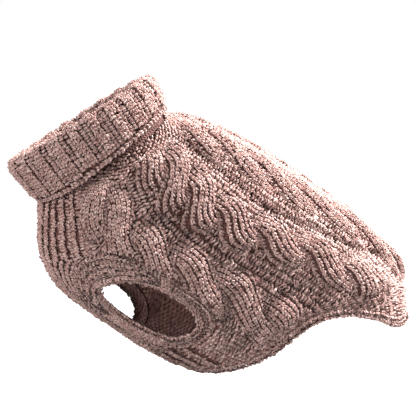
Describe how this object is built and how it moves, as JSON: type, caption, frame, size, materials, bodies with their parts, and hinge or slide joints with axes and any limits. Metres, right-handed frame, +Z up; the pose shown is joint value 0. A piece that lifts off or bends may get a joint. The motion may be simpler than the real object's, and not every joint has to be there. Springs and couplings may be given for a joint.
{
  "type": "dog sweater",
  "caption": "Hollow cable-knit sweater for a small dog, with a folded rib turtleneck, ribbed chest, banded leg openings and a curved hem.",
  "frame": {"origin": "the inner face of the back panel at the withers, where the wearer's shoulders hold the sweater up", "axes": "+Z up, X along the wearer with the head end towards -X, the wearer's left side towards -Y"},
  "size_m": [0.3145, 0.1326, 0.2102],
  "materials": {
    "mauve_yarn": "soft, fuzzy, heathered dusty mauve yarn, chunky cable and rib knit"
  },
  "bodies": {
    "root": {"turtleneck_collar": "mauve_yarn", "back_panel": "mauve_yarn", "chest_panel": "mauve_yarn", "front_leg_band_left": "mauve_yarn", "front_leg_band_right": "mauve_yarn", "hem_band": "mauve_yarn"}
  },
  "joints": []
}
